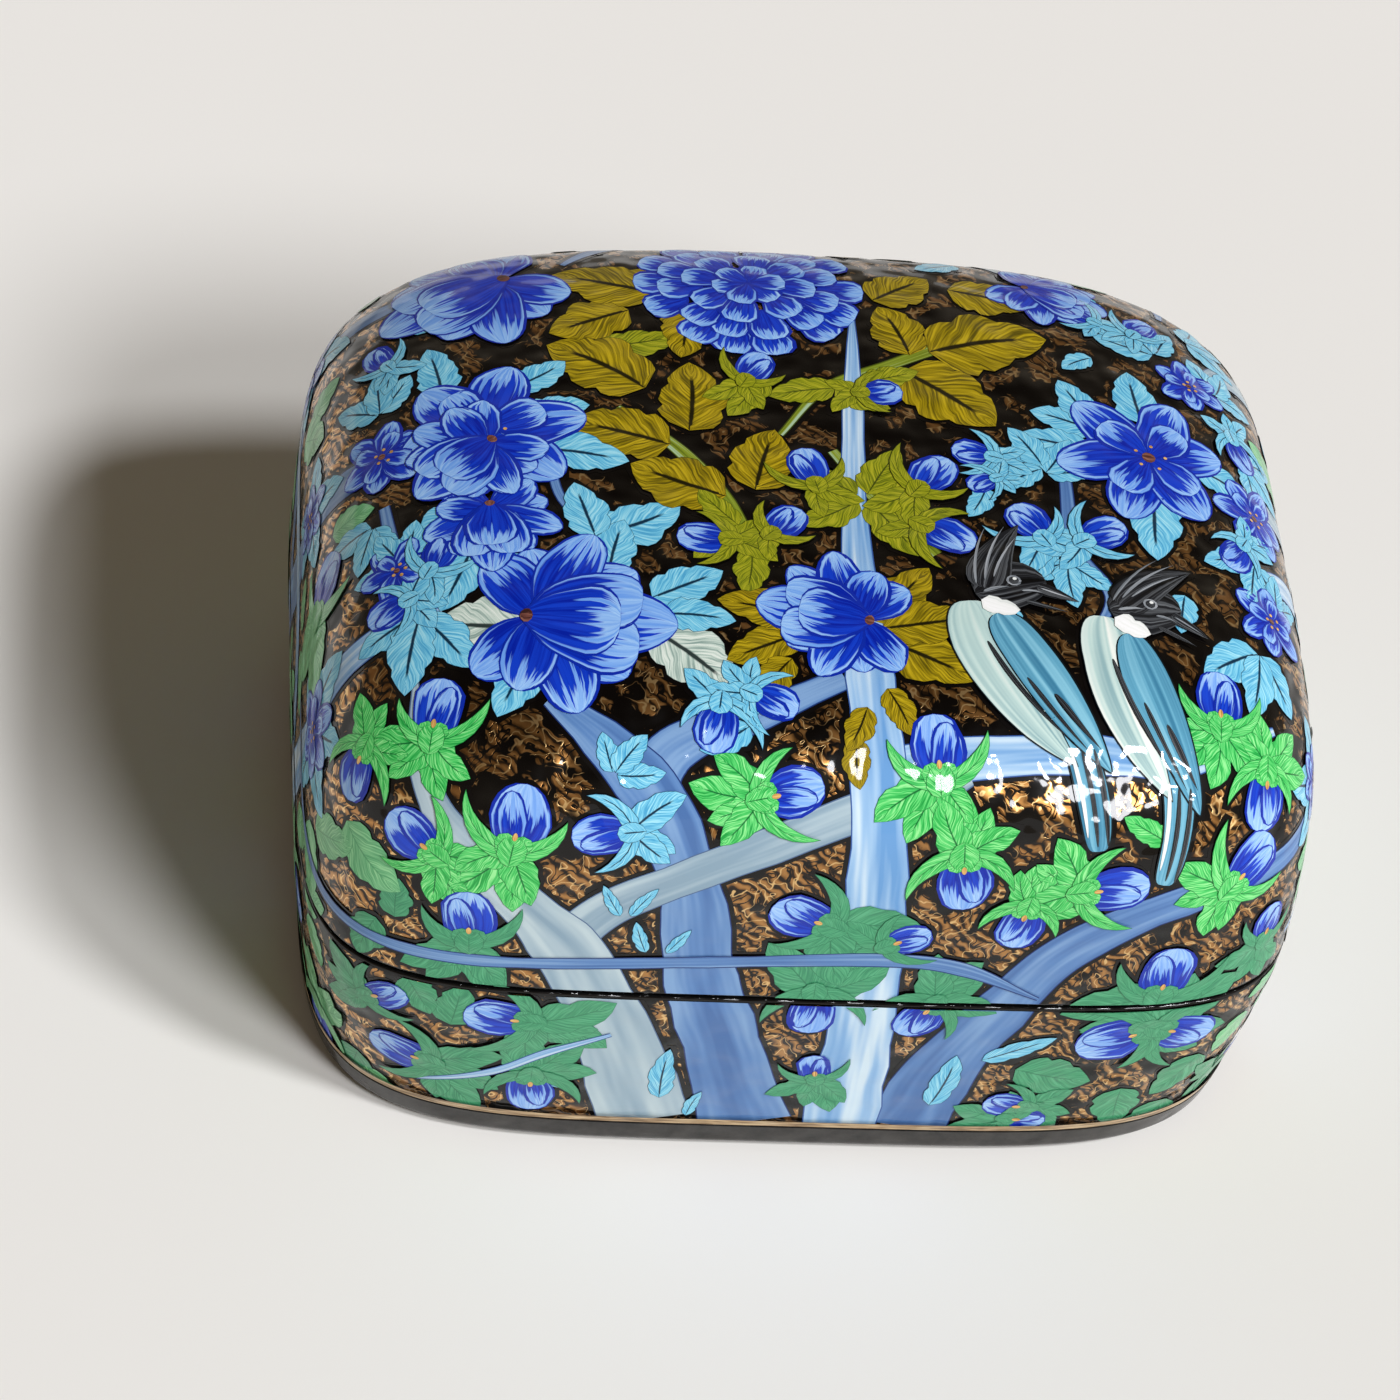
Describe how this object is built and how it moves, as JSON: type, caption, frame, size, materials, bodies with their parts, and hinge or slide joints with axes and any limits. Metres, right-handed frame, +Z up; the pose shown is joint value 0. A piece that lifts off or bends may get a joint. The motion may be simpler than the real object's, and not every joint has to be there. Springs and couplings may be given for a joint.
{
  "type": "papier mache trinket box",
  "caption": "Rounded rectangular papier mache trinket box with a gently domed lift-off lid over a collar, painted all over with flowers and birds under clear lacquer.",
  "frame": {"origin": "on the table, under the middle of the box", "axes": "+X to the viewer's right along the wide side, +Y to the back along the deep side, +Z up"},
  "size_m": [0.1, 0.083, 0.0575],
  "materials": {
    "painted_lacquer": "hand-painted papier mache under a thick clear gloss varnish",
    "black_lacquer": "plain black lacquer on card, glossy"
  },
  "bodies": {
    "base": {"base_shell": "painted_lacquer", "lip_collar": "black_lacquer", "foot_board": "black_lacquer"},
    "lid": {"lid_shell": "painted_lacquer"}
  },
  "joints": [
    {"name": "lid_lift", "type": "slide", "parent": "base", "child": "lid", "axis": [0, 0, 1], "range_m": [0, 0.06]}
  ]
}
